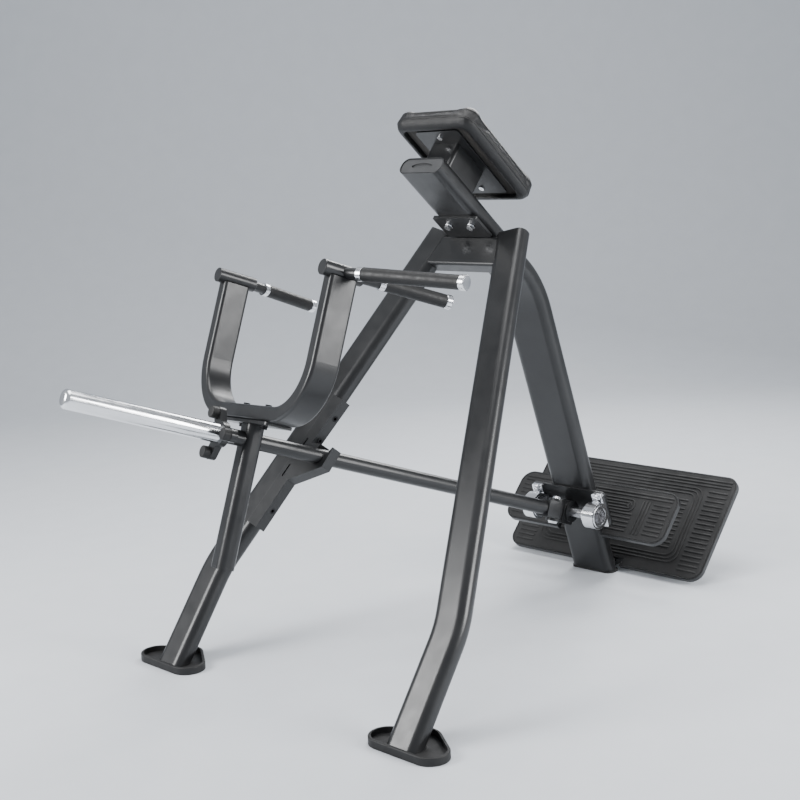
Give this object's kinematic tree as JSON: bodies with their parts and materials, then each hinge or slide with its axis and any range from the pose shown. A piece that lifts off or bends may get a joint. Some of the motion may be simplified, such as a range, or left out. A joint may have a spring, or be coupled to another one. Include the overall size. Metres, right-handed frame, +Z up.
{
  "type": "incline lever row machine",
  "caption": "Plate-loaded incline row machine: leaning spine with chest pad, A-frame legs, foot plates, pivoting lever with U-shaped handle yoke and weight sleeve.",
  "frame": {"origin": "on the floor, under the lower end of the spine, in the machine's centre plane", "axes": "+X along the floor from the weight end to the foot-plate end, +Y to the user's right (the side with the rest hook), +Z up"},
  "size_m": [1.922, 1.3645, 1.4222],
  "materials": {
    "frame_paint": "satin charcoal powder coat",
    "chrome": "polished chrome plate",
    "bearing_steel": "ground bearing steel",
    "black_bolt": "black oxide",
    "foot_rubber": "moulded rubber, matt",
    "grip_rubber": "fine-grained rubber sleeve",
    "cap_plastic": "moulded plastic",
    "pad_board": "black-stained board",
    "pad_cover": "black upholstery leather, fine grain"
  },
  "bodies": {
    "frame": {"bearing_bolts": "chrome", "bearing_mount_plate": "frame_paint", "bearing_outer_races": "bearing_steel", "chest_pad": "pad_cover", "crossbeam": "frame_paint", "hook_bolts": "black_bolt", "hook_plate": "frame_paint", "large_foot_mat": "foot_rubber", "large_foot_tray": "frame_paint", "large_plate_gussets": "frame_paint", "left_bearing_housing": "chrome", "left_foot": "foot_rubber", "left_leg": "frame_paint", "leg_top_caps": "frame_paint", "pad_board": "pad_board", "pad_mounting_plate": "frame_paint", "pad_post": "frame_paint", "pad_screws": "chrome", "rear_bar_caps": "cap_plastic", "rear_floor_bar": "frame_paint", "rear_floor_pads": "foot_rubber", "rear_rail": "frame_paint", "rear_uprights": "frame_paint", "rest_hook": "frame_paint", "right_bearing_housing": "chrome", "right_foot": "foot_rubber", "right_leg": "frame_paint", "saddle_bolts": "chrome", "saddle_plate": "frame_paint", "small_foot_mat": "foot_rubber", "small_foot_tray": "frame_paint", "small_plate_gussets": "frame_paint", "spine_end_cap": "cap_plastic", "spine_floor_pad": "foot_rubber", "spine_tube": "frame_paint"},
    "knuckle": {"axle": "bearing_steel", "bearing_inner_races": "bearing_steel", "axle_collars": "chrome", "knuckle": "frame_paint", "swivel_pin": "chrome"},
    "lever": {"lever_end_block": "frame_paint", "lever_tube": "frame_paint", "stop_post": "frame_paint", "stop_post_cap": "frame_paint", "yoke_plate": "frame_paint", "yoke_bolts": "black_bolt", "yoke_tube": "frame_paint", "yoke_bosses": "frame_paint", "left_handle_tubes": "frame_paint", "right_handle_tubes": "frame_paint", "left_narrow_grip": "grip_rubber", "left_wide_grip": "grip_rubber", "right_narrow_grip": "grip_rubber", "right_wide_grip": "grip_rubber", "grip_rings": "chrome", "grip_caps": "chrome", "sleeve_flange": "frame_paint", "flange_bumpers": "foot_rubber", "weight_sleeve": "chrome"}
  },
  "joints": [
    {"name": "lever_pitch", "type": "hinge", "parent": "frame", "child": "knuckle", "pos_m": [-0.15703, 0, 0.22293], "axis": [0, 1, 0], "range_deg": [0, 30]},
    {"name": "lever_swing", "type": "hinge", "parent": "knuckle", "child": "lever", "pos_m": [-0.20407, 0, 0.2342], "axis": [0.3518, 0, 0.9361], "range_deg": [0, 13.5]}
  ],
  "couplings": [
    {"joint": "lever_swing", "follows": "lever_pitch", "ratio": 0.45}
  ]
}
